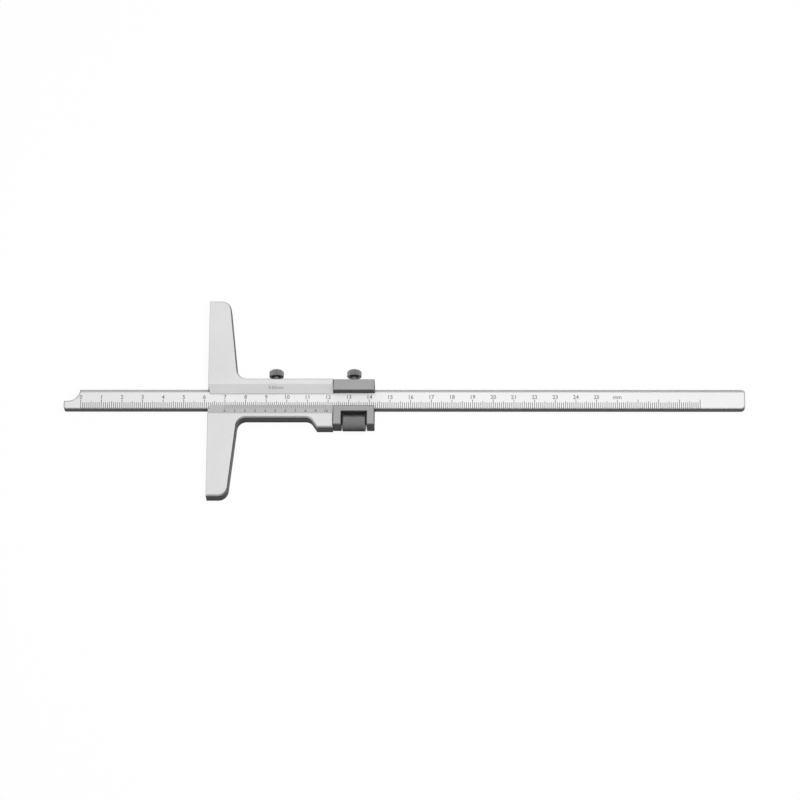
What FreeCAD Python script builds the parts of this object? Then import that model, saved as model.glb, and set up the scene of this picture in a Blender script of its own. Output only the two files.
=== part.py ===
import FreeCAD, Part
import os
import re
import Sketcher

# Vernier depth gauge with fine adjustment, 0 to 250 mm, lying on its back.
# X runs along the beam to its free end, Y across it towards the clamp screws, Z up through its thickness.
# The origin is on the measuring face of the base, on the beam's centre line, in the plane of the back.

# Driving sizes in millimetres
SIZES = {
    # Beam
    "beam_length": 330.0,
    "beam_width": 10.0,
    "beam_thickness": 4.5,
    "beam_bevel_width": 1.5,
    "beam_bevel_depth": 0.9,
    "beam_end_radius": 2.0,
    "nose_width": 4.0,
    "nose_flat": 1.8,
    "nose_corner_radius": 1.0,
    "rest_reading": 70.0,
    # Clearances and overrun
    "slide_clearance": 0.05,
    "turn_clearance": 0.05,
    "fit_clearance": 0.02,
    "cut_overrun": 2.0,
    # Slideway, shared by the base and the carriage
    "back_wall": 1.4,
    "spring_space": 0.8,
    # Base: the bridge and the slider in one piece
    "base_thickness": 8.0,
    "base_edge_chamfer": 0.6,
    "face_edge_break": 0.2,
    "bridge_length": 100.0,
    "arm_end_width": 10.2,
    "arm_root_width": 14.6,
    "arm_end_radius": 5.0,
    "arm_root_fillet": 4.5,
    "slider_length": 60.7,
    "slider_width": 20.0,
    "window_above": 2.5,
    "window_below": 3.2,
    "upper_lip_height": 0.6,
    "upper_bevel_start": 7.0,
    "lower_lip_height": 0.2,
    "lower_bevel_start": 8.1,
    "mouth_relief": 1.0,
    "foot_length": 7.8,
    "foot_drop": 5.0,
    "foot_slope": 3.2,
    "foot_fillet": 4.0,
    # Carriage of the fine adjustment
    "carriage_gap": 0.1,
    "carriage_length": 20.0,
    "carriage_thickness": 10.6,
    "carriage_top": 8.6,
    "carriage_bottom": 14.4,
    "carriage_window_above": 3.0,
    "carriage_window_below": 4.8,
    "carriage_edge_chamfer": 0.3,
    "near_ear_length": 4.0,
    "nut_slot_length": 12.3,
    "nut_slot_top": 7.7,
    # Spindle, its cross pin and the knurled nut
    "spindle_diameter": 2.5,
    "spindle_chamfer": 0.3,
    "spindle_drop": 12.1,
    "spindle_height": 5.3,
    "spindle_seat": 6.5,
    "spindle_reach": 19.3,
    "pin_diameter": 1.2,
    "pin_length": 7.0,
    "pin_inset": 3.2,
    "nut_diameter": 8.2,
    "nut_length": 11.8,
    "nut_chamfer": 0.6,
    "nut_flute_depth": 0.25,
    "nut_flute_count": 36,
    # Clamp screws with their pads and leaf springs
    "clamp_thread_diameter": 3.0,
    "clamp_tip_chamfer": 0.3,
    "clamp_neck_diameter": 4.0,
    "clamp_neck_length": 1.5,
    "clamp_head_level": 11.8,
    "clamp_head_diameter": 7.0,
    "clamp_head_height": 3.4,
    "clamp_head_chamfer": 0.8,
    "clamp_head_underside_chamfer": 0.25,
    "clamp_flute_depth": 0.25,
    "clamp_flute_count": 32,
    "clamp_pad_thickness": 1.2,
    "clamp_height": 4.0,
    "slider_clamp_place": 33.0,
    "leaf_thickness": 0.35,
    "leaf_width": 3.2,
    "leaf_end_margin": 1.5,
}

# Levels that several pieces share, as formulas of the sizes above
BEAM_HALF = "beam_width / 2"
BEAM_BACK = "(back_wall + slide_clearance)"
SLOT_BELOW = "(beam_width / 2 + slide_clearance)"
SLOT_ABOVE = "(beam_width / 2 + slide_clearance + spring_space)"
SLOT_FRONT = "(back_wall + 2 * slide_clearance + beam_thickness)"
SLIDER_HALF = "slider_width / 2"
FOOT_START = "(slider_length - foot_length)"
FOOT_BOTTOM = "(slider_width / 2 + foot_drop)"
CARRIAGE_START = "(slider_length + carriage_gap)"
NUT_START = "(slider_length + carriage_gap + near_ear_length + (nut_slot_length - nut_length) / 2)"
LEAF_LEVEL = "(beam_width / 2 + slide_clearance)"
LEAF_RISE = "(spring_space - leaf_thickness - fit_clearance)"
PAD_LEVEL = "(beam_width / 2 + slide_clearance + leaf_thickness + fit_clearance)"
TIP_LEVEL = "(beam_width / 2 + slide_clearance + leaf_thickness + 2 * fit_clearance + clamp_pad_thickness)"
CLAMP_HOLE_RADIUS = "(clamp_thread_diameter / 2 + turn_clearance)"
CARRIAGE_CLAMP_PLACE = "(slider_length + carriage_gap + carriage_length / 2)"
SLIDER_LEAF_HALF = "(min(slider_clamp_place; slider_length - slider_clamp_place) - leaf_end_margin)"
CARRIAGE_LEAF_HALF = "(carriage_length / 2 - leaf_end_margin)"

# How far two points may lie apart and still count as one place, as a share of the beam's thickness
SAME_PLACE_SHARE = 0.001

doc = FreeCAD.newDocument("DepthGauge")
sheet = doc.addObject("Spreadsheet::Sheet", "Sizes")
for row, (alias, number) in enumerate(SIZES.items(), start=1):
    sheet.set("A%d" % row, alias)
    sheet.set("B%d" % row, str(number))
    sheet.setAlias("B%d" % row, alias)
doc.recompute()


def bound(formula):
    """A formula of size names, written as an expression on the sheet."""
    return re.sub(r"[a-z]\w*_\w+", lambda word: "Sizes." + word.group(), formula)


def value(formula):
    """The number that a formula of size names gives."""
    return float(sheet.evalExpression(formula))


def new_body(label, x="0", y="0", z="0"):
    """An empty body whose own origin stands at x, y, z."""
    body = doc.addObject("PartDesign::Body", label)
    body.Label = label
    for axis, formula in zip("xyz", (x, y, z)):
        body.setExpression("Placement.Base." + axis, bound(formula))
    return body


def new_sketch(body, name, plane, offset="0"):
    """A sketch on one of the body's own planes, moved along the plane's normal by offset."""
    sketch = body.newObject("Sketcher::SketchObject", name)
    support = [part for part in body.Origin.OriginFeatures if part.Role == plane][0]
    sketch.AttachmentSupport = (support, [""])
    sketch.MapMode = "FlatFace"
    sketch.setExpression("AttachmentOffset.Base.z", bound(offset))
    return sketch


def fix(sketch, kind, geometry, point, formula):
    """Hold a point of the sketch, or a radius, at the value of a formula."""
    if kind == "Radius":
        number = sketch.addConstraint(Sketcher.Constraint(kind, geometry, value(formula)))
    else:
        number = sketch.addConstraint(Sketcher.Constraint(kind, -1, 1, geometry, point, value(formula)))
    sketch.setExpression("Constraints[%d]" % number, bound(formula))


def arc_between(start, end, radius, turn):
    """The short arc from start to end, anticlockwise when turn is 1 and clockwise when it is -1."""
    chord = end - start
    middle = (start + end) / 2
    reach = max(radius ** 2 - (chord.Length / 2) ** 2, 0) ** 0.5
    side = FreeCAD.Vector(-chord.y, chord.x, 0).normalize() * turn
    bulge = middle - side * (radius - reach)
    return Part.Arc(start, bulge, end)


def add_outline(sketch, corners):
    """A closed outline. A corner is (x, y), or (x, y, radius, turn) where an arc leads on from it."""
    points = [FreeCAD.Vector(value(corner[0]), value(corner[1]), 0) for corner in corners]
    starts = []
    ends = []
    for index, corner in enumerate(corners):
        start = points[index]
        end = points[(index + 1) % len(points)]
        if len(corner) == 2:
            edge = Part.LineSegment(start, end)
            from_start = True
        else:
            edge = arc_between(start, end, value(corner[2]), corner[3])
            from_start = corner[3] > 0
        geometry = sketch.addGeometry(edge)
        starts.append((geometry, 1 if from_start else 2))
        ends.append((geometry, 2 if from_start else 1))
    for index, corner in enumerate(corners):
        sketch.addConstraint(Sketcher.Constraint("Coincident", *ends[index - 1], *starts[index]))
        fix(sketch, "DistanceX", *starts[index], corner[0])
        fix(sketch, "DistanceY", *starts[index], corner[1])
        if len(corner) > 2:
            fix(sketch, "Radius", starts[index][0], None, corner[2])


def add_circle(sketch, x, y, radius):
    """A circle round the point x, y."""
    centre = FreeCAD.Vector(value(x), value(y), 0)
    circle = sketch.addGeometry(Part.Circle(centre, FreeCAD.Vector(0, 0, 1), value(radius)))
    fix(sketch, "DistanceX", circle, 3, x)
    fix(sketch, "DistanceY", circle, 3, y)
    fix(sketch, "Radius", circle, None, radius)


def add_pad(body, name, sketch, length):
    """Raise a sketch along its normal."""
    pad = body.newObject("PartDesign::Pad", name)
    pad.Profile = sketch
    pad.setExpression("Length", bound(length))
    doc.recompute()
    return pad


def add_pocket(body, name, sketch, length, along_normal):
    """Cut a sketch into the body, along its normal or against it."""
    before = body.Shape.Volume
    pocket = body.newObject("PartDesign::Pocket", name)
    pocket.Profile = sketch
    pocket.Reversed = along_normal
    pocket.setExpression("Length", bound(length))
    doc.recompute()
    if body.Shape.Volume >= before:
        raise RuntimeError(name + " cuts nothing")
    return pocket


def add_revolution(body, name, sketch, axis):
    """Turn a sketch all the way round one of its own axes."""
    revolution = body.newObject("PartDesign::Revolution", name)
    revolution.Profile = sketch
    revolution.ReferenceAxis = (sketch, [axis])
    doc.recompute()
    return revolution


def edges_where(body, wanted):
    """Names of the edges whose ends and middle all pass a test."""
    names = []
    for number, edge in enumerate(body.Shape.Edges, start=1):
        middle = edge.valueAt((edge.FirstParameter + edge.LastParameter) / 2)
        points = [vertex.Point for vertex in edge.Vertexes] + [middle]
        local = [body.Placement.inverse().multVec(point) for point in points]
        if all(wanted(point) for point in local):
            names.append("Edge%d" % number)
    return names


def near(number, formula):
    """Whether a coordinate lies at the place that a formula gives."""
    return abs(number - value(formula)) < SAME_PLACE_SHARE * value("beam_thickness")


def dress_edges(body, kind, name, size, wanted):
    """Fillet or chamfer the edges that pass a test."""
    names = edges_where(body, wanted)
    if not names:
        raise RuntimeError(name + " finds no edge")
    base = body.Tip
    dressing = body.newObject("PartDesign::" + kind, name)
    dressing.Base = (base, names)
    dressing.setExpression("Radius" if kind == "Fillet" else "Size", bound(size))
    doc.recompute()
    return dressing


def round_uprights(body, name, radius, places):
    """Fillet the edges that stand along Z at the given places in plan."""
    dress_edges(body, "Fillet", name, radius,
                lambda point: any(near(point.x, x) and near(point.y, y) for x, y in places))


def add_flutes(body, name, plane, radius, start, length, depth, count):
    """Straight V flutes all round a turned head, cut one and repeated about the turning axis."""
    sketch = new_sketch(body, name + "Sketch", plane, start)
    crest = "(" + radius + " + " + depth + ")"
    add_outline(sketch, [
        ("0", "(" + radius + " - " + depth + ")"),
        ("2 * " + depth, crest),
        ("-2 * " + depth, crest),
    ])
    flute = add_pocket(body, name, sketch, length, True)
    pattern = body.newObject("PartDesign::PolarPattern", name + "Pattern")
    pattern.Originals = [flute]
    pattern.Axis = (sketch, ["N_Axis"])
    pattern.Angle = 360
    pattern.setExpression("Occurrences", bound(count))
    body.Tip = pattern
    doc.recompute()


def make_beam():
    """Flat rule with a stepped nose, a rounded free end and a bevel along its upper front edge."""
    body = new_body("beam", "-rest_reading", "0", BEAM_BACK)
    plan = new_sketch(body, "BeamPlan", "XY_Plane")
    nose_top = "(nose_width - beam_width / 2)"
    nose_arc = "(beam_width - nose_width)"
    add_outline(plan, [
        ("nose_corner_radius", "-beam_width / 2"),
        ("beam_length - beam_end_radius", "-beam_width / 2", "beam_end_radius", 1),
        ("beam_length", "beam_end_radius - beam_width / 2"),
        ("beam_length", "beam_width / 2 - beam_end_radius", "beam_end_radius", 1),
        ("beam_length - beam_end_radius", BEAM_HALF),
        ("nose_flat + " + nose_arc, BEAM_HALF, nose_arc, -1),
        ("nose_flat", nose_top),
        ("0", nose_top),
        ("0", "nose_corner_radius - beam_width / 2", "nose_corner_radius", 1),
    ])
    add_pad(body, "BeamBlank", plan, "beam_thickness")
    section = new_sketch(body, "BeamBevelSketch", "YZ_Plane")
    add_outline(section, [
        ("beam_width / 2 - beam_bevel_width", "beam_thickness"),
        (BEAM_HALF, "beam_thickness - beam_bevel_depth"),
        ("beam_width / 2 + cut_overrun", "beam_thickness - beam_bevel_depth"),
        ("beam_width / 2 + cut_overrun", "beam_thickness + cut_overrun"),
        ("beam_width / 2 - beam_bevel_width", "beam_thickness + cut_overrun"),
    ])
    add_pocket(body, "BeamBevel", section, "beam_length", True)
    return body


def make_base_body():
    """Bridge, slider and spindle foot in one piece, with the slideway and its two bevelled lips."""
    body = new_body("base_body")
    bridge_half = "bridge_length / 2"
    plan = new_sketch(body, "BasePlan", "XY_Plane")
    add_outline(plan, [
        ("0", "-bridge_length / 2"),
        ("arm_end_width", "-bridge_length / 2"),
        ("arm_root_width", "-slider_width / 2"),
        (FOOT_START + " - foot_slope", "-slider_width / 2"),
        (FOOT_START, "-" + FOOT_BOTTOM),
        ("slider_length", "-" + FOOT_BOTTOM),
        ("slider_length", SLIDER_HALF),
        ("arm_root_width", SLIDER_HALF),
        ("arm_end_width", bridge_half),
        ("0", bridge_half),
    ])
    add_pad(body, "BaseBlank", plan, "base_thickness")
    round_uprights(body, "ArmEnds", "arm_end_radius",
                   [("arm_end_width", "-bridge_length / 2"), ("arm_end_width", bridge_half)])
    round_uprights(body, "ArmRoots", "arm_root_fillet",
                   [("arm_root_width", "-slider_width / 2"), ("arm_root_width", SLIDER_HALF)])
    round_uprights(body, "FootRoot", "foot_fillet", [(FOOT_START + " - foot_slope", "-slider_width / 2")])
    arm_side = value("slider_width / 2") * (1 - SAME_PLACE_SHARE)
    dress_edges(body, "Chamfer", "BaseEdges", "base_edge_chamfer",
                lambda point: near(point.z, "base_thickness") and abs(point.y) > arm_side)
    dress_edges(body, "Chamfer", "FaceEdges", "face_edge_break",
                lambda point: near(point.z, "base_thickness")
                and (near(point.x, "0") or near(point.x, "slider_length")))
    cut_slideway(body)
    cut_mouth_relief(body)
    clamp = new_sketch(body, "BaseClampSketch", "XZ_Plane")
    add_circle(clamp, "slider_clamp_place", "clamp_height", CLAMP_HOLE_RADIUS)
    add_pocket(body, "BaseClampHole", clamp, "slider_width / 2 + cut_overrun", False)
    seat = new_sketch(body, "SpindleSeatSketch", "YZ_Plane", "slider_length")
    add_circle(seat, "-spindle_drop", "spindle_height", "spindle_diameter / 2 + fit_clearance")
    add_pocket(body, "SpindleSeat", seat, "spindle_seat + fit_clearance", False)
    pin = new_sketch(body, "BasePinSketch", "XY_Plane")
    add_circle(pin, "slider_length - pin_inset", "-spindle_drop", "pin_diameter / 2 + fit_clearance")
    add_pocket(body, "BasePinHole", pin, "pin_length + fit_clearance", True)
    return body


def cut_slideway(body):
    """Slot for the beam and its leaf spring, open to the front between two bevels."""
    section = new_sketch(body, "SlidewaySketch", "YZ_Plane")
    top = "base_thickness + cut_overrun"
    add_outline(section, [
        ("-" + SLOT_BELOW, "back_wall"),
        (SLOT_ABOVE, "back_wall"),
        (SLOT_ABOVE, SLOT_FRONT),
        ("window_above", SLOT_FRONT),
        ("window_above", SLOT_FRONT + " + upper_lip_height"),
        ("upper_bevel_start", "base_thickness"),
        ("upper_bevel_start", top),
        ("-lower_bevel_start", top),
        ("-lower_bevel_start", "base_thickness"),
        ("-window_below", SLOT_FRONT + " + lower_lip_height"),
        ("-window_below", SLOT_FRONT),
        ("-" + SLOT_BELOW, SLOT_FRONT),
    ])
    add_pocket(body, "Slideway", section, "slider_length", True)


def cut_mouth_relief(body):
    """Both lips drawn back a little where the beam leaves the measuring face."""
    for name, edge, start in (
        ("UpperRelief", "window_above", "upper_bevel_start"),
        ("LowerRelief", "-window_below", "-lower_bevel_start"),
    ):
        plan = new_sketch(body, name + "Sketch", "XY_Plane", SLOT_FRONT)
        add_outline(plan, [("0", start), ("0", edge), ("mouth_relief", edge)])
        add_pocket(body, name, plan, "base_thickness", True)


def make_carriage():
    """Block of the fine adjustment: a slideway above, two ears for the spindle and the nut below."""
    body = new_body("fine_adjust_carriage", CARRIAGE_START)
    section = new_sketch(body, "CarriageSection", "YZ_Plane")
    add_outline(section, [
        ("-carriage_bottom", "0"),
        ("carriage_top", "0"),
        ("carriage_top", "carriage_thickness"),
        ("carriage_window_above", "carriage_thickness"),
        ("carriage_window_above", SLOT_FRONT),
        (SLOT_ABOVE, SLOT_FRONT),
        (SLOT_ABOVE, "back_wall"),
        ("-" + SLOT_BELOW, "back_wall"),
        ("-" + SLOT_BELOW, SLOT_FRONT),
        ("-carriage_window_below", SLOT_FRONT),
        ("-carriage_window_below", "carriage_thickness"),
        ("-carriage_bottom", "carriage_thickness"),
    ])
    add_pad(body, "CarriageBlank", section, "carriage_length")
    slot = new_sketch(body, "NutSlotSketch", "XY_Plane")
    add_outline(slot, [
        ("near_ear_length", "-nut_slot_top"),
        ("near_ear_length", "-carriage_bottom - cut_overrun"),
        ("near_ear_length + nut_slot_length", "-carriage_bottom - cut_overrun"),
        ("near_ear_length + nut_slot_length", "-nut_slot_top"),
    ])
    add_pocket(body, "NutSlot", slot, "carriage_thickness + cut_overrun", True)
    dress_edges(body, "Chamfer", "CarriageEdges", "carriage_edge_chamfer",
                lambda point: near(point.z, "carriage_thickness"))
    bore = new_sketch(body, "CarriageBoreSketch", "YZ_Plane")
    add_circle(bore, "-spindle_drop", "spindle_height", "spindle_diameter / 2 + slide_clearance")
    add_pocket(body, "CarriageBore", bore, "carriage_length", True)
    clamp = new_sketch(body, "CarriageClampSketch", "XZ_Plane")
    add_circle(clamp, "carriage_length / 2", "clamp_height", CLAMP_HOLE_RADIUS)
    add_pocket(body, "CarriageClampHole", clamp, "carriage_top + cut_overrun", False)
    return body


def make_spindle():
    """Round spindle with chamfered ends, drilled across for its pin."""
    body = new_body("fine_adjust_spindle", "slider_length - spindle_seat", "-spindle_drop", "spindle_height")
    length = "spindle_seat + spindle_reach"
    radius = "spindle_diameter / 2"
    profile = new_sketch(body, "SpindleProfile", "XY_Plane")
    add_outline(profile, [
        ("0", "0"),
        (length, "0"),
        (length, radius + " - spindle_chamfer"),
        (length + " - spindle_chamfer", radius),
        ("spindle_chamfer", radius),
        ("0", radius + " - spindle_chamfer"),
    ])
    add_revolution(body, "SpindleTurned", profile, "H_Axis")
    cross = new_sketch(body, "SpindleCrossSketch", "XY_Plane", "-spindle_diameter")
    add_circle(cross, "spindle_seat - pin_inset", "0", "pin_diameter / 2 + fit_clearance")
    add_pocket(body, "SpindleCrossHole", cross, "2 * spindle_diameter", True)
    return body


def make_spindle_pin():
    """Plain pin across the spindle, driven in from the back of the foot."""
    body = new_body("spindle_pin", "slider_length - pin_inset", "-spindle_drop")
    disc = new_sketch(body, "PinCircle", "XY_Plane")
    add_circle(disc, "0", "0", "pin_diameter / 2")
    add_pad(body, "PinTurned", disc, "pin_length")
    return body


def make_nut():
    """Fluted barrel nut with chamfered ends, running on the spindle between the carriage's ears."""
    body = new_body("fine_adjust_nut", NUT_START, "-spindle_drop", "spindle_height")
    bore = "spindle_diameter / 2 + turn_clearance"
    radius = "nut_diameter / 2"
    profile = new_sketch(body, "NutProfile", "XY_Plane")
    add_outline(profile, [
        ("0", bore),
        ("nut_length", bore),
        ("nut_length", radius + " - nut_chamfer"),
        ("nut_length - nut_chamfer", radius),
        ("nut_chamfer", radius),
        ("0", radius + " - nut_chamfer"),
    ])
    add_revolution(body, "NutTurned", profile, "H_Axis")
    add_flutes(body, "NutFlute", "YZ_Plane", radius, "0", "nut_length", "nut_flute_depth", "nut_flute_count")
    return body


def make_clamp_screw(label, place):
    """Thumb screw: plain shank, neck and fluted head, turned about Y."""
    body = new_body(label, place, TIP_LEVEL, "clamp_height")
    shank = "(clamp_head_level - " + TIP_LEVEL + ")"
    top = shank + " + clamp_head_height"
    thread = "clamp_thread_diameter / 2"
    head = "clamp_head_diameter / 2"
    profile = new_sketch(body, "Profile", "XY_Plane")
    add_outline(profile, [
        ("0", "0"),
        (thread + " - clamp_tip_chamfer", "0"),
        (thread, "clamp_tip_chamfer"),
        (thread, shank + " - clamp_neck_length"),
        ("clamp_neck_diameter / 2", shank + " - clamp_neck_length"),
        ("clamp_neck_diameter / 2", shank),
        (head + " - clamp_head_underside_chamfer", shank),
        (head, shank + " + clamp_head_underside_chamfer"),
        (head, top + " - clamp_head_chamfer"),
        (head + " - clamp_head_chamfer", top),
        ("0", top),
    ])
    add_revolution(body, "Turned", profile, "V_Axis")
    add_flutes(body, "Flute", "XZ_Plane", head, "-(" + top + ")", "clamp_head_height",
               "clamp_flute_depth", "clamp_flute_count")
    return body


def make_clamp_pad(label, place):
    """Loose disc between the tip of a clamp screw and the leaf spring."""
    body = new_body(label, place, PAD_LEVEL, "clamp_height")
    profile = new_sketch(body, "Profile", "XY_Plane")
    add_outline(profile, [
        ("0", "0"),
        ("clamp_thread_diameter / 2", "0"),
        ("clamp_thread_diameter / 2", "clamp_pad_thickness"),
        ("0", "clamp_pad_thickness"),
    ])
    add_revolution(body, "Turned", profile, "V_Axis")
    return body


def make_leaf_spring(label, place, half):
    """Bowed strip: its middle rests on the beam's edge and its ends bear on the slideway."""
    body = new_body(label, place, LEAF_LEVEL, BEAM_BACK)
    bow = "((" + half + "^2 + " + LEAF_RISE + "^2) / (2 * " + LEAF_RISE + "))"
    plan = new_sketch(body, "Profile", "XY_Plane")
    add_outline(plan, [
        ("-" + half, LEAF_RISE, bow, 1),
        (half, LEAF_RISE),
        (half, LEAF_RISE + " + leaf_thickness", bow, -1),
        ("-" + half, LEAF_RISE + " + leaf_thickness"),
    ])
    add_pad(body, "Strip", plan, "leaf_width")
    return body


pieces = [
    make_beam(),
    make_base_body(),
    make_leaf_spring("slider_leaf_spring", "slider_clamp_place", SLIDER_LEAF_HALF),
    make_clamp_pad("slider_clamp_pad", "slider_clamp_place"),
    make_clamp_screw("slider_clamp_screw", "slider_clamp_place"),
    make_carriage(),
    make_leaf_spring("carriage_leaf_spring", CARRIAGE_CLAMP_PLACE, CARRIAGE_LEAF_HALF),
    make_clamp_pad("carriage_clamp_pad", CARRIAGE_CLAMP_PLACE),
    make_clamp_screw("carriage_clamp_screw", CARRIAGE_CLAMP_PLACE),
    make_spindle(),
    make_spindle_pin(),
    make_nut(),
]
doc.recompute()

for item in doc.Objects:
    if "Invalid" in item.State or "Error" in item.State:
        raise RuntimeError(item.Name + " is " + str(item.State))
for piece in pieces:
    if piece.Shape.isNull() or not piece.Shape.isValid():
        raise RuntimeError(piece.Label + " has no valid shape")

os.makedirs("parts", exist_ok=True)
for piece in pieces:
    piece.Shape.exportStep("parts/" + piece.Label + ".step")
    print(piece.Label, len(piece.Shape.Solids), "solid", round(piece.Shape.Volume, 1), "mm3")
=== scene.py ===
"""Depth gauge on a pale floor: metal finishes, the engraved scales, soft studio light and the camera."""

import math

import bmesh
import bpy
from mathutils import Matrix, Vector


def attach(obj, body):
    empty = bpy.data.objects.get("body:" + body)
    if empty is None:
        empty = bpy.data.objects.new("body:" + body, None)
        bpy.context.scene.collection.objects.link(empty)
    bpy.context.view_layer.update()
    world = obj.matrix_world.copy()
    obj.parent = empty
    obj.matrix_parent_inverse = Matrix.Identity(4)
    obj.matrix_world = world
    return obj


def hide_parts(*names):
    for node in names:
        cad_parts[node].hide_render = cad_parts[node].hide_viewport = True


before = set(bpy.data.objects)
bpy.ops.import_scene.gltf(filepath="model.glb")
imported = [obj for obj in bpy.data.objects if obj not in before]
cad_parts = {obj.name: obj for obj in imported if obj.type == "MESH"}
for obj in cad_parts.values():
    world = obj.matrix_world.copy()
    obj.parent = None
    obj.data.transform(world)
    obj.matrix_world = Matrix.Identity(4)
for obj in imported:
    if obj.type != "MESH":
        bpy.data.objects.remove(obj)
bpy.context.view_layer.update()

MM = 0.001

# Beam and its scale, in millimetres
BEAM_FACE = 5.95
BEAM_TIP = -70.0
SCALE_ZERO = BEAM_TIP + 8.25
SCALE_LENGTH = 300
BEAM_LINE_WIDTH = 0.3
BEAM_LINE_BOTTOM = -4.9
MILLIMETRE_TOP = -1.7
FIVE_TOP = -1.15
CENTIMETRE_TOP = -0.3
LAST_NUMBER = 25
NUMBER_MIDDLE = 0.9
NUMBER_HEIGHT = 2.0

# Lines and letters of every scale: how far they stand out and reach in, and how letters are drawn
LINE_HEIGHT = 0.02
LINE_SINK = 0.01
LETTER_WEIGHT = 0.03
FONT_SIZE_PER_HEIGHT = 1.4
LETTER_CURVE_STEPS = 3

# Vernier on the lower bevel of the slider
VERNIER_ZERO = 8.25
VERNIER_DIVISIONS = 50
VERNIER_STEP = 0.98
VERNIER_NUMBER_EVERY = 5
BEVEL_TOP_Y = -3.2
BEVEL_TOP_Z = 6.2
BEVEL_FOOT_Y = -8.1
BEVEL_FOOT_Z = 8.0
VERNIER_LINE_WIDTH = 0.13
VERNIER_LINE_GAP = 0.02
VERNIER_SHORT = 2.1
VERNIER_LONG = 2.75
VERNIER_NUMBER_PLACE = 3.75
VERNIER_NUMBER_HEIGHT = 1.35

# Resolution, on the upper bevel of the slider
UPPER_EDGE_Y = 2.5
UPPER_EDGE_Z = 6.6
UPPER_FOOT_Y = 7.0
UPPER_FOOT_Z = 8.0
RESOLUTION_X = 33.0
RESOLUTION_RISE = 2.9
RESOLUTION_HEIGHT = 1.6

# Spindle, its thread and the plain caps that close its ends
SPINDLE_START = 54.2
SPINDLE_END = 80.0
SPINDLE_Y = -12.1
SPINDLE_Z = 5.3
SPINDLE_RADIUS = 1.25
SPINDLE_PITCH = 0.45
SPINDLE_THREAD_DEPTH = 0.22
SPINDLE_PLAIN_TURNS = 3
SPINDLE_CAP_LENGTH = 2.2
SPINDLE_CAP_CHAMFER = 0.25
SPINDLE_SIDES = 32
SAME_PLACE = 0.0001

# Reach of the slideway's lips from the middle line, and the carriage's pocket for the nut: places with painted
# shade levels of their own
LIP_HALF = 4.0
POCKET_MIDDLE_X = 70.95
POCKET_HALF = 6.3
POCKET_TOP_Y = -7.6

# Upright part of the normal, from where walls with painted shade begin to where they are full, and the same for
# level faces
WALL_RANGE = (0.6, 0.35)
LEVEL_RANGE = (0.9, 0.97)

# Cosine of the turn that rounding gives the normal, from the clean face to the edge, whose tone is partly
# rubbed wear and partly painted highlight or painted shade
EDGE_TONE_RANGE = (0.995, 0.85)
EDGE_SAMPLES = 6
CREVICE_SAMPLES = 8

# What all metals share
MARKS_DETAIL = 3.0
MARKS_ROUGHNESS = 0.6
MARKS_STRENGTH = 0.25
CLOUD_SCALE = 55.0
CLOUD_SMOOTHER = 0.04
CLOUD_ROUGHER = 0.06
METAL_TINT = 0.8
ROUND_SHADE_SHARE = 0.95

# What all inks share
INK_SPECK_SCALE = 2500.0
INK_SPECK_DETAIL = 2.0
INK_LEVELS = (0.7, 1.4)
INK_ROUGHNESS = (0.45, 0.65)
INK_BUMP_STRENGTH = 0.2
INK_BUMP_DEPTH = 0.01

# Floor, with its shares of plain white towards the camera and in reflections
FLOOR_HALF = 4000.0
FLOOR_MIDDLE_X = 100.0
FLOOR_GAP = 0.05
FLOOR_LEVEL = 0.52
FLOOR_WHITE_SEEN = 0.95
FLOOR_WHITE_MIRRORED = 0.35

# Direction in which the sky is brightest, and its levels from the dark side to there
SKY_TILT = (-0.2, 0.1, 1.0)
SKY_STEPS = ((0.0, 0.08), (0.24, 0.5), (0.59, 0.72), (0.93, 0.94))

# Camera, in degrees and millimetres
CAMERA_PLACE = (142.068, -727.868, 2059.647)
CAMERA_TURN = (19.5023, 1.2876, 0.0189)
CAMERA_LENS = 202.5
CAMERA_SENSOR = 36.0
CAMERA_NEAR = 100.0
CAMERA_FAR = 20000.0


def fill(tree, node, inputs):
    """Gives a node its inputs, each of them a value or the output that it is linked from."""
    for name, given in inputs.items():
        if isinstance(given, bpy.types.NodeSocket):
            tree.links.new(given, node.inputs[name])
        else:
            node.inputs[name].default_value = given


def add_node(tree, kind, inputs=None, **settings):
    """A shader node with its settings and inputs."""
    made = tree.nodes.new(kind)
    for name, setting in settings.items():
        setattr(made, name, setting)
    fill(tree, made, inputs or {})
    return made


def calc(tree, operation, *values):
    """Result of one step of arithmetic."""
    return add_node(tree, "ShaderNodeMath", dict(enumerate(values)), operation=operation).outputs[0]


def run_between(tree, value, start, end, low=0.0, high=1.0, curve="LINEAR"):
    """Level that runs from low to high while a value runs from start to end."""
    return add_node(tree, "ShaderNodeMapRange",
                    {"Value": value, "From Min": start, "From Max": end, "To Min": low, "To Max": high},
                    interpolation_type=curve).outputs[0]


def mix_colour(tree, mask, first, second):
    """Colour that runs from first to second with a mask."""
    return add_node(tree, "ShaderNodeMix", {0: mask, 6: first, 7: second}, data_type="RGBA").outputs[2]


def grey(level):
    return (level, level, level, 1.0)


def set_stops(ramp, steps):
    """Gives a colour ramp its grey levels, each with its place on the ramp."""
    stops = ramp.color_ramp.elements
    stops[0].position, stops[1].position = steps[0][0], steps[-1][0]
    for position, _ in steps[1:-1]:
        stops.new(position)
    for stop, (_, level) in zip(stops, steps):
        stop.color = grey(level)


def new_group(name, inputs, outputs):
    """An empty shader group with its sockets. Returns its tree, input node and output node."""
    tree = bpy.data.node_groups.new(name, "ShaderNodeTree")
    for label, kind in inputs.items():
        tree.interface.new_socket(label, in_out="INPUT", socket_type=kind)
    for label, kind in outputs.items():
        tree.interface.new_socket(label, in_out="OUTPUT", socket_type=kind)
    return tree, tree.nodes.new("NodeGroupInput"), tree.nodes.new("NodeGroupOutput")


def use_group(tree, group, inputs):
    """Places a group in a material."""
    return add_node(tree, "ShaderNodeGroup", inputs, node_tree=group)


def new_material(name):
    """A material with an empty shader tree. Returns both."""
    material = bpy.data.materials.new(name)
    material.use_nodes = True
    material.node_tree.nodes.clear()
    return material, material.node_tree


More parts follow.
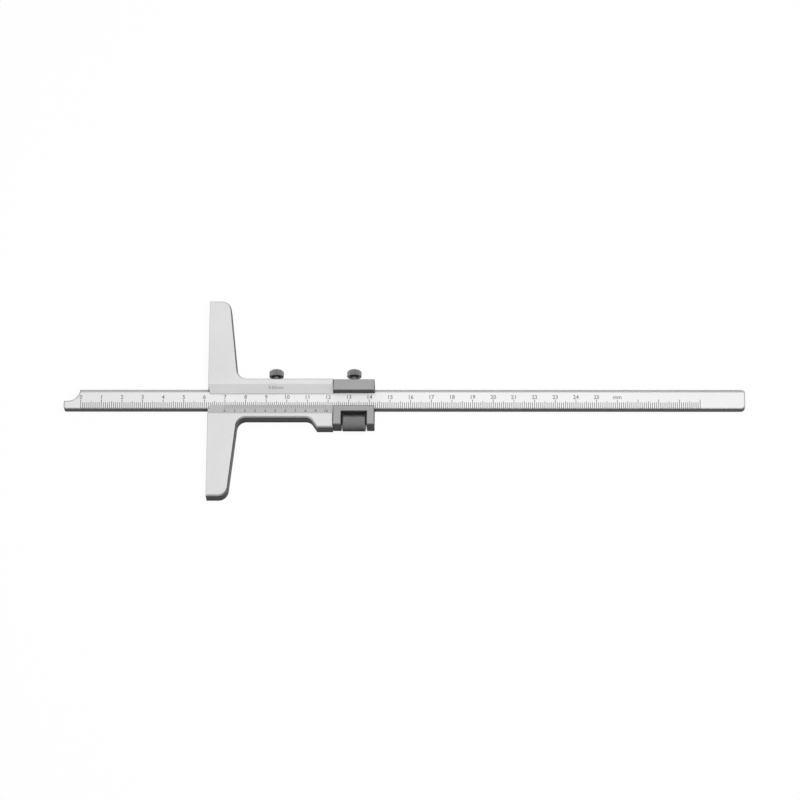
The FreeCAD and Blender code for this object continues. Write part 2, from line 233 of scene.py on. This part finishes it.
def make_grain_group():
    """Noise drawn out along the directions of the tool marks, from 0 to 1."""
    tree, given, result = new_group(
        "tool_marks",
        {"Stretch": "NodeSocketVector", "Scale": "NodeSocketFloat", "Detail": "NodeSocketFloat"},
        {"Marks": "NodeSocketFloat"})
    place = add_node(tree, "ShaderNodeTexCoord")
    drawn = add_node(tree, "ShaderNodeVectorMath",
                     {0: place.outputs["Object"], 1: given.outputs["Stretch"]}, operation="MULTIPLY")
    noise = add_node(tree, "ShaderNodeTexNoise",
                     {"Vector": drawn.outputs[0], "Scale": given.outputs["Scale"],
                      "Detail": given.outputs["Detail"], "Roughness": MARKS_ROUGHNESS})
    fill(tree, result, {"Marks": noise.outputs[0]})
    return tree


def make_edge_group():
    """Broken edges: a rounded normal, and a mask that is 1 on the edge."""
    tree, given, result = new_group(
        "broken_edge", {"Radius": "NodeSocketFloat"},
        {"Normal": "NodeSocketVector", "Edge": "NodeSocketFloat"})
    rounded = add_node(tree, "ShaderNodeBevel", {"Radius": given.outputs["Radius"]}, samples=EDGE_SAMPLES)
    face = add_node(tree, "ShaderNodeNewGeometry")
    turn = add_node(tree, "ShaderNodeVectorMath",
                    {0: rounded.outputs[0], 1: face.outputs["True Normal"]}, operation="DOT_PRODUCT")
    fill(tree, result, {"Normal": rounded.outputs[0],
                        "Edge": run_between(tree, turn.outputs["Value"], *EDGE_TONE_RANGE)})
    return tree


def make_side_group():
    """Masks of the outer walls, of the walls within Near of the beam's middle line, and of level faces. The
    wall masks carry painted shade.

    Chamfer is the share by which a side that faces +X counts as steeper, so that its chamfer takes the painted
    shade too.
    """
    tree, given, result = new_group(
        "shaded_walls", {"Near": "NodeSocketFloat", "Chamfer": "NodeSocketFloat"},
        {"Wall": "NodeSocketFloat", "Lip": "NodeSocketFloat", "Flat": "NodeSocketFloat"})
    place = add_node(tree, "ShaderNodeTexCoord")
    normal = add_node(tree, "ShaderNodeSeparateXYZ", {0: place.outputs["Normal"]})
    spot = add_node(tree, "ShaderNodeSeparateXYZ", {0: place.outputs["Object"]})
    level = calc(tree, "ABSOLUTE", normal.outputs["Z"])
    aside = calc(tree, "MULTIPLY", normal.outputs["X"], given.outputs["Chamfer"])
    upright = calc(tree, "SUBTRACT", level, aside)
    wall = run_between(tree, upright, *WALL_RANGE, curve="SMOOTHSTEP")
    away = calc(tree, "ABSOLUTE", spot.outputs["Y"])
    outside = calc(tree, "GREATER_THAN", away, given.outputs["Near"])
    outer = calc(tree, "MULTIPLY", wall, outside)
    lip = calc(tree, "SUBTRACT", wall, outer)
    flat = run_between(tree, level, *LEVEL_RANGE, curve="SMOOTHSTEP")
    fill(tree, result, {"Wall": outer, "Lip": lip, "Flat": flat})
    return tree


def make_pocket_group():
    """Mask that is 1 inside a pocket of the lower side.

    The pocket is given by its middle and half along X and its top in Y.
    """
    tree, given, result = new_group(
        "inside_pocket",
        {"Middle": "NodeSocketFloat", "Half": "NodeSocketFloat", "Top": "NodeSocketFloat"},
        {"Inside": "NodeSocketFloat"})
    place = add_node(tree, "ShaderNodeTexCoord")
    spot = add_node(tree, "ShaderNodeSeparateXYZ", {0: place.outputs["Object"]})
    across = calc(tree, "SUBTRACT", spot.outputs["X"], given.outputs["Middle"])
    away = calc(tree, "ABSOLUTE", across)
    between = calc(tree, "LESS_THAN", away, given.outputs["Half"])
    below = calc(tree, "LESS_THAN", spot.outputs["Y"], given.outputs["Top"])
    fill(tree, result, {"Inside": calc(tree, "MULTIPLY", between, below)})
    return tree


def make_crevice_group():
    """Mask of painted shade in crevices and near other surfaces, 1 in the open and 0 deep inside."""
    tree, given, result = new_group(
        "crevice_shade",
        {"Distance": "NodeSocketFloat", "Dark": "NodeSocketFloat", "Open": "NodeSocketFloat"},
        {"Clear": "NodeSocketFloat"})
    around = add_node(tree, "ShaderNodeAmbientOcclusion", {"Distance": given.outputs["Distance"]},
                      samples=CREVICE_SAMPLES)
    clear = run_between(tree, around.outputs["AO"], given.outputs["Dark"], given.outputs["Open"],
                        curve="SMOOTHSTEP")
    fill(tree, result, {"Clear": clear})
    return tree


TOOL_MARKS = make_grain_group()
CREVICE_SHADE = make_crevice_group()
BROKEN_EDGE = make_edge_group()
SHADED_WALLS = make_side_group()
POCKET = make_pocket_group()


def make_metal(name, *, face, wall, edge, roughness, wall_roughness, marks_scale, marks_depth,
               stretch=(1, 1, 1), variation=0.06, edge_radius=0.18, edge_share=0.5, lip_level=None, chamfer=0.0,
               pocket_level=None, crevice=None, matte_face=0.0, level_face=None, rounded=None):
    """A metal with painted shade on its walls, tool marks, cloudy handling marks, and edges of their own tone
    that is partly rubbed wear and partly painted highlight or painted shade.

    Lengths are in millimetres. The walls of the lips and of the pocket can have a painted shade level of their
    own. Level faces can have a level of their own and can be partly matte. Painted shade in crevices is given
    by reach, dark end, clear end and level, and a round piece gets painted shade and painted light by its
    levels from the side that faces -Y to the one that faces +Y.
    """
    material, tree = new_material(name)
    marks = use_group(tree, TOOL_MARKS, {"Stretch": stretch, "Scale": marks_scale,
                                         "Detail": MARKS_DETAIL}).outputs["Marks"]
    clouds = use_group(tree, TOOL_MARKS, {"Stretch": (1, 1, 1), "Scale": CLOUD_SCALE,
                                          "Detail": MARKS_DETAIL}).outputs["Marks"]
    near = 0.0 if lip_level is None else LIP_HALF * MM
    walls = use_group(tree, SHADED_WALLS, {"Near": near, "Chamfer": chamfer})
    edges = use_group(tree, BROKEN_EDGE, {"Radius": edge_radius * MM})

    # Walls take a darker level: painted shade.
    colour = mix_colour(tree, walls.outputs["Wall"], grey(face), grey(wall))
    # Lip walls and the pocket take painted shade levels of their own.
    if lip_level is not None:
        colour = mix_colour(tree, walls.outputs["Lip"], colour, grey(lip_level))
    if pocket_level is not None:
        inside = use_group(tree, POCKET, {"Middle": POCKET_MIDDLE_X * MM, "Half": POCKET_HALF * MM,
                                          "Top": POCKET_TOP_Y * MM})
        colour = mix_colour(tree, inside.outputs["Inside"], colour, grey(pocket_level))
    if level_face is not None:
        colour = mix_colour(tree, walls.outputs["Flat"], colour, grey(level_face))
    for pattern in (marks, clouds):
        share = run_between(tree, pattern, 0.0, 1.0, high=variation)
        colour = mix_colour(tree, share, colour, grey(0.0))
    # Edges take their own tone: partly rubbed wear, partly painted highlight, and on the beam painted shade.
    edge_tone_mask = calc(tree, "MULTIPLY", edges.outputs["Edge"], edge_share)
    colour = mix_colour(tree, edge_tone_mask, colour, grey(edge))
    # Painted shade in crevices and near other surfaces, from ambient occlusion.
    if crevice is not None:
        reach, dark, clear, crevice_shade_level = crevice
        open_places = use_group(tree, CREVICE_SHADE, {"Distance": reach * MM, "Dark": dark, "Open": clear})
        colour = mix_colour(tree, open_places.outputs["Clear"], grey(crevice_shade_level), colour)
    # Painted shade and painted light on a round piece: darker on the side whose normal faces -Y, lighter on the
    # side that faces +Y.
    if rounded is not None:
        turned = add_node(tree, "ShaderNodeSeparateXYZ", {0: edges.outputs["Normal"]})
        along = run_between(tree, turned.outputs["Y"], -1.0, 1.0)
        levels = add_node(tree, "ShaderNodeValToRGB", {0: along})
        set_stops(levels, [((side + 1) / 2, level) for side, level in rounded])
        colour = mix_colour(tree, ROUND_SHADE_SHARE, colour, levels.outputs["Color"])

    metallic = 1.0
    if matte_face > 0:
        metallic = run_between(tree, walls.outputs["Flat"], 0.0, 1.0, low=1.0, high=1.0 - matte_face)
    face_rough = run_between(tree, clouds, 0.0, 1.0,
                             low=roughness - CLOUD_SMOOTHER, high=roughness + CLOUD_ROUGHER)
    rough = add_node(tree, "ShaderNodeMix",
                     {0: walls.outputs["Wall"], 2: face_rough, 3: wall_roughness}, data_type="FLOAT")
    bump = add_node(tree, "ShaderNodeBump",
                    {"Strength": MARKS_STRENGTH, "Distance": marks_depth * MM, "Height": marks,
                     "Normal": edges.outputs["Normal"]})
    shader = add_node(tree, "ShaderNodeBsdfPrincipled",
                      {"Base Color": colour, "Metallic": metallic, "Roughness": rough.outputs[0],
                       "Specular Tint": grey(METAL_TINT), "Normal": bump.outputs[0]})
    add_node(tree, "ShaderNodeOutputMaterial", {"Surface": shader.outputs[0]})
    return material


def make_ink(name, level):
    """Dark filling of the engraved lines and numbers, slightly uneven."""
    material, tree = new_material(name)
    specks = use_group(tree, TOOL_MARKS, {"Stretch": (1, 1, 1), "Scale": INK_SPECK_SCALE,
                                          "Detail": INK_SPECK_DETAIL}).outputs["Marks"]
    thin, thick = INK_LEVELS
    colour = mix_colour(tree, specks, grey(level * thin), grey(level * thick))
    rough = run_between(tree, specks, 0.0, 1.0, *INK_ROUGHNESS)
    bump = add_node(tree, "ShaderNodeBump",
                    {"Strength": INK_BUMP_STRENGTH, "Distance": INK_BUMP_DEPTH * MM, "Height": specks})
    shader = add_node(tree, "ShaderNodeBsdfPrincipled",
                      {"Base Color": colour, "Roughness": rough, "Normal": bump.outputs[0]})
    add_node(tree, "ShaderNodeOutputMaterial", {"Surface": shader.outputs[0]})
    return material


# Wall, lip and pocket levels are painted shade; edge levels are partly rubbed wear, partly painted highlight,
# and on ground_steel painted shade.
SATIN_CHROME = make_metal(
    "satin_chrome", face=0.72, wall=0.031, edge=0.76, roughness=0.36, wall_roughness=0.42,
    marks_scale=6000.0, marks_depth=0.02, lip_level=0.72, chamfer=0.35)
GROUND_STEEL = make_metal(
    "ground_steel", face=0.76, wall=0.065, edge=0.12, roughness=0.32, wall_roughness=0.42,
    marks_scale=5000.0, marks_depth=0.01, stretch=(0.05, 1, 1), variation=0.04, edge_radius=1.3,
    edge_share=0.9, matte_face=0.9, level_face=0.45)
GREY_STEEL = make_metal(
    "grey_steel", face=0.36, wall=0.02, edge=0.4, roughness=0.36, wall_roughness=0.42,
    marks_scale=4000.0, marks_depth=0.02, stretch=(1, 0.08, 1), lip_level=0.045, pocket_level=0.22)
# The nut's levels are painted shade on its side that faces -Y and a painted highlight on the side that faces
# +Y.
KNURLED_STEEL = make_metal(
    "knurled_steel", face=0.26, wall=0.26, edge=0.26, roughness=0.35, wall_roughness=0.35,
    marks_scale=3000.0, marks_depth=0.02, edge_radius=0.9,
    rounded=((-0.86, 0.012), (-0.75, 0.34), (-0.1, 0.17), (0.28, 0.22), (0.6, 0.8)))
# Screws get painted shade in crevices and near other surfaces.
SCREW_STEEL = make_metal(
    "screw_steel", face=0.36, wall=0.36, edge=0.45, roughness=0.33, wall_roughness=0.33,
    marks_scale=3000.0, marks_depth=0.02, crevice=(6.0, 0.45, 0.88, 0.11))
SPRING_STEEL = make_metal(
    "spring_steel", face=0.3, wall=0.25, edge=0.4, roughness=0.3, wall_roughness=0.3,
    marks_scale=4000.0, marks_depth=0.01, stretch=(0.05, 1, 1))
PAD_BRASS = make_metal(
    "pad_brass", face=0.5, wall=0.45, edge=0.6, roughness=0.4, wall_roughness=0.4,
    marks_scale=3000.0, marks_depth=0.02)
SCALE_INK = make_ink("scale_ink", 0.057)
NUMBER_INK = make_ink("number_ink", 0.114)
FAINT_INK = make_ink("faint_ink", 0.08)

FINISHES = {
    "base_body": SATIN_CHROME,
    "beam": GROUND_STEEL,
    "fine_adjust_carriage": GREY_STEEL,
    "fine_adjust_nut": KNURLED_STEEL,
    "fine_adjust_spindle": SCREW_STEEL,
    "slider_clamp_screw": SCREW_STEEL,
    "carriage_clamp_screw": SCREW_STEEL,
    "spindle_pin": SCREW_STEEL,
    "slider_leaf_spring": SPRING_STEEL,
    "carriage_leaf_spring": SPRING_STEEL,
    "slider_clamp_pad": PAD_BRASS,
    "carriage_clamp_pad": PAD_BRASS,
}
for node_name, finish in FINISHES.items():
    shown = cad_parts[node_name]
    shown.data.materials.clear()
    shown.data.materials.append(finish)


def plane_frame(low_y, low_z, high_y, high_z):
    """Matrix in metres of a sloping face.

    Its x runs along the gauge, its y from the first edge to the second.
    """
    across = Vector((0, high_y - low_y, high_z - low_z)).normalized()
    along = Vector((1, 0, 0))
    out = along.cross(across)
    turned = Matrix((along, across, out)).transposed().to_4x4()
    return Matrix.Translation(Vector((0, low_y, low_z)) * MM) @ turned @ Matrix.Scale(MM, 4)


BEAM_PLANE = Matrix.Translation((0, 0, BEAM_FACE * MM)) @ Matrix.Scale(MM, 4)
VERNIER_PLANE = plane_frame(BEVEL_FOOT_Y, BEVEL_FOOT_Z, BEVEL_TOP_Y, BEVEL_TOP_Z)
VERNIER_EDGE = math.hypot(BEVEL_TOP_Y - BEVEL_FOOT_Y, BEVEL_TOP_Z - BEVEL_FOOT_Z)
RESOLUTION_PLANE = plane_frame(UPPER_EDGE_Y, UPPER_EDGE_Z, UPPER_FOOT_Y, UPPER_FOOT_Z)


def add_object(name, data):
    """An object of the scene that shows the given data."""
    made = bpy.data.objects.new(name, data)
    bpy.context.scene.collection.objects.link(made)
    return made


def make_mesh(name, shape, material):
    """Mesh of a bmesh, with its material."""
    mesh = bpy.data.meshes.new(name)
    shape.to_mesh(mesh)
    shape.free()
    mesh.materials.append(material)
    return mesh


def add_piece(name, shape, material, body):
    """Makes a piece of a bmesh and lets it ride on its body."""
    piece = add_object(name, make_mesh(name, shape, material))
    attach(piece, body)
    return piece


def add_line(shape, plane, x, low, high, width):
    """One engraved line as a thin bar on a plane."""
    place = Matrix.Translation((x, (low + high) / 2, (LINE_HEIGHT - LINE_SINK) / 2))
    size = Matrix.Diagonal((width, high - low, LINE_HEIGHT + LINE_SINK, 1))
    bmesh.ops.create_cube(shape, size=1.0, matrix=plane @ place @ size)


def add_words(shape, plane, words, x, y, height, weight=LETTER_WEIGHT):
    """Words as thin raised letters on a plane, centred on a point."""
    letters = bpy.data.curves.new("letters", "FONT")
    letters.body = words
    letters.size = height * FONT_SIZE_PER_HEIGHT
    letters.align_x = "CENTER"
    letters.align_y = "CENTER"
    letters.resolution_u = LETTER_CURVE_STEPS
    letters.offset = height * weight
    letters.extrude = (LINE_HEIGHT + LINE_SINK) / 2
    holder = add_object("letters", letters)
    bpy.context.view_layer.update()
    drawn = bpy.data.meshes.new_from_object(holder.evaluated_get(bpy.context.evaluated_depsgraph_get()))
    drawn.transform(plane @ Matrix.Translation((x, y, (LINE_HEIGHT - LINE_SINK) / 2)))
    shape.from_mesh(drawn)
    bpy.data.objects.remove(holder)
    bpy.data.curves.remove(letters)
    bpy.data.meshes.remove(drawn)


def make_beam_scale():
    """Millimetre lines of the beam, with a number at every centimetre."""
    lines = bmesh.new()
    for millimetre in range(SCALE_LENGTH + 1):
        top = MILLIMETRE_TOP
        if millimetre % 10 == 0:
            top = CENTIMETRE_TOP
        elif millimetre % 5 == 0:
            top = FIVE_TOP
        add_line(lines, BEAM_PLANE, SCALE_ZERO + millimetre, BEAM_LINE_BOTTOM, top, BEAM_LINE_WIDTH)
    add_piece("beam_scale_lines", lines, SCALE_INK, "beam")
    numbers = bmesh.new()
    labels = [str(centimetre) for centimetre in range(LAST_NUMBER + 1)] + ["mm"]
    for centimetre, label in enumerate(labels):
        add_words(numbers, BEAM_PLANE, label, SCALE_ZERO + 10 * centimetre, NUMBER_MIDDLE, NUMBER_HEIGHT)
    add_piece("beam_scale_numbers", numbers, NUMBER_INK, "beam")


def make_vernier():
    """Lines and numbers on the lower bevel, and the resolution on the upper one."""
    lines = bmesh.new()
    numbers = bmesh.new()
    for division in range(VERNIER_DIVISIONS + 1):
        x = VERNIER_ZERO + division * VERNIER_STEP
        length = VERNIER_SHORT
        if division % VERNIER_NUMBER_EVERY == 0:
            length = VERNIER_LONG
            add_words(numbers, VERNIER_PLANE, str(division // VERNIER_NUMBER_EVERY), x,
                      VERNIER_EDGE - VERNIER_NUMBER_PLACE, VERNIER_NUMBER_HEIGHT)
        add_line(lines, VERNIER_PLANE, x, VERNIER_EDGE - length, VERNIER_EDGE - VERNIER_LINE_GAP,
                 VERNIER_LINE_WIDTH)
    add_piece("vernier_lines", lines, SCALE_INK, "base")
    add_piece("vernier_numbers", numbers, SCALE_INK, "base")
    words = bmesh.new()
    add_words(words, RESOLUTION_PLANE, "0.02mm", RESOLUTION_X, RESOLUTION_RISE, RESOLUTION_HEIGHT,
              weight=0.0)
    add_piece("resolution_words", words, FAINT_INK, "base")


def add_spindle_cap(shape, end, side, radius):
    """Plain rod that closes one end of the thread, with its outer rim chamfered."""
    middle = (end - side * SPINDLE_CAP_LENGTH / 2) * MM
    place = Matrix.Translation((middle, SPINDLE_Y * MM, SPINDLE_Z * MM))
    rod = set(bmesh.ops.create_cone(
        shape, cap_ends=True, segments=SPINDLE_SIDES, radius1=radius, radius2=radius,
        depth=SPINDLE_CAP_LENGTH * MM, matrix=place @ Matrix.Rotation(math.pi / 2, 4, "Y"))["verts"])
    rim = [edge for edge in shape.edges
           if all(point in rod and abs(point.co.x - end * MM) < SAME_PLACE * MM for point in edge.verts)]
    bmesh.ops.bevel(shape, geom=rim, offset=SPINDLE_CAP_CHAMFER * MM, affect="EDGES", segments=2,
                    profile=0.5, material=-1)


def make_spindle():
    """Threaded spindle, turned as one helical surface with closed ends."""
    shape = bmesh.new()
    crest = SPINDLE_RADIUS * MM
    root = (SPINDLE_RADIUS - SPINDLE_THREAD_DEPTH) * MM
    length = SPINDLE_END - SPINDLE_START
    teeth = int(length / SPINDLE_PITCH) - SPINDLE_PLAIN_TURNS
    start = SPINDLE_START + (length - (teeth + 1) * SPINDLE_PITCH) / 2
    last = None
    for half in range(2 * teeth + 1):
        x = (start + half * SPINDLE_PITCH / 2) * MM
        radius = root if half % 2 == 0 else crest
        point = shape.verts.new((x, SPINDLE_Y * MM, SPINDLE_Z * MM + radius))
        if last is not None:
            shape.edges.new((last, point))
        last = point
    bmesh.ops.spin(shape, geom=shape.verts[:] + shape.edges[:], cent=(0, SPINDLE_Y * MM, SPINDLE_Z * MM),
                   axis=(1, 0, 0), dvec=(SPINDLE_PITCH * MM / SPINDLE_SIDES, 0, 0), angle=math.tau,
                   steps=SPINDLE_SIDES, use_merge=False, use_duplicate=False)
    bmesh.ops.remove_doubles(shape, verts=shape.verts[:], dist=SAME_PLACE * MM)
    add_spindle_cap(shape, SPINDLE_START, -1, root)
    add_spindle_cap(shape, SPINDLE_END, 1, root)
    bmesh.ops.recalc_face_normals(shape, faces=shape.faces[:])
    piece = add_piece("threaded_spindle", shape, SCREW_STEEL, "base")
    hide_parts("fine_adjust_spindle")


make_beam_scale()
make_vernier()
make_spindle()


def make_floor():
    """Pale floor. The camera sees it almost white, with a faint shadow, and reflections see it partly white."""
    material, tree = new_material("pale_floor")
    paper = add_node(tree, "ShaderNodeBsdfDiffuse", {"Color": grey(FLOOR_LEVEL), "Roughness": 0.0})
    white = add_node(tree, "ShaderNodeEmission", {"Color": grey(1.0), "Strength": 1.0})
    ray = add_node(tree, "ShaderNodeLightPath")
    direct = calc(tree, "MULTIPLY", ray.outputs["Is Camera Ray"], FLOOR_WHITE_SEEN)
    mirrored = calc(tree, "MAXIMUM", ray.outputs["Is Glossy Ray"], ray.outputs["Is Transmission Ray"])
    dimmed = calc(tree, "MULTIPLY", mirrored, FLOOR_WHITE_MIRRORED)
    seen = calc(tree, "MAXIMUM", direct, dimmed)
    mixed = add_node(tree, "ShaderNodeMixShader", {0: seen, 1: paper.outputs[0], 2: white.outputs[0]})
    add_node(tree, "ShaderNodeOutputMaterial", {"Surface": mixed.outputs[0]})
    shape = bmesh.new()
    bmesh.ops.create_grid(shape, x_segments=1, y_segments=1, size=FLOOR_HALF * MM,
                          matrix=Matrix.Translation((FLOOR_MIDDLE_X * MM, 0, -FLOOR_GAP * MM)))
    add_object("floor", make_mesh("floor", shape, material))


def make_world():
    """Studio sky, bright overhead and darker towards the horizon, most of all on the right."""
    world = bpy.data.worlds.new("studio")
    bpy.context.scene.world = world
    world.use_nodes = True
    tree = world.node_tree
    tree.nodes.clear()
    place = add_node(tree, "ShaderNodeTexCoord")
    height = add_node(tree, "ShaderNodeVectorMath", {0: place.outputs["Generated"], 1: SKY_TILT},
                      operation="DOT_PRODUCT")
    sky = add_node(tree, "ShaderNodeValToRGB", {0: height.outputs["Value"]})
    set_stops(sky, SKY_STEPS)
    light = add_node(tree, "ShaderNodeBackground", {"Color": sky.outputs["Color"], "Strength": 1.0})
    add_node(tree, "ShaderNodeOutputWorld", {"Surface": light.outputs[0]})


def add_soft_lamp(name, place, size, radiance, aim, mirrored=True):
    """Rectangular soft lamp whose face has a given brightness. Glossy surfaces can leave it out."""
    lamp = bpy.data.lights.new(name, "AREA")
    lamp.shape = "RECTANGLE"
    lamp.size, lamp.size_y = size
    lamp.energy = radiance * math.pi * size[0] * size[1]
    holder = add_object(name, lamp)
    holder.location = place
    holder.rotation_euler = (Vector(aim) - Vector(place)).to_track_quat("-Z", "Y").to_euler()
    holder.visible_camera = False
    holder.visible_glossy = mirrored


def make_camera():
    """Camera at the photograph's viewing angle."""
    camera = bpy.data.cameras.new("camera")
    camera.lens = CAMERA_LENS
    camera.sensor_width = CAMERA_SENSOR
    camera.clip_start = CAMERA_NEAR * MM
    camera.clip_end = CAMERA_FAR * MM
    holder = add_object("camera", camera)
    turn_x, turn_y, turn_z = (math.radians(angle) for angle in CAMERA_TURN)
    turned = (Matrix.Rotation(turn_x, 4, "X") @ Matrix.Rotation(turn_y, 4, "Y")
              @ Matrix.Rotation(turn_z, 4, "Z"))
    holder.matrix_world = Matrix.Translation(Vector(CAMERA_PLACE) * MM) @ turned
    bpy.context.scene.camera = holder


make_floor()
make_world()
add_soft_lamp("main_lamp", place=(0.24, 0.2, 0.55), size=(0.62, 0.5), radiance=0.36, aim=(0.24, 0.2, 0.0))
add_soft_lamp("overhead_lamp", place=(0.16, 0.0, 0.6), size=(0.3, 0.25), radiance=21.0,
              aim=(0.16, 0.0, 0.0), mirrored=False)
make_camera()

bpy.context.scene.view_settings.view_transform = "Standard"
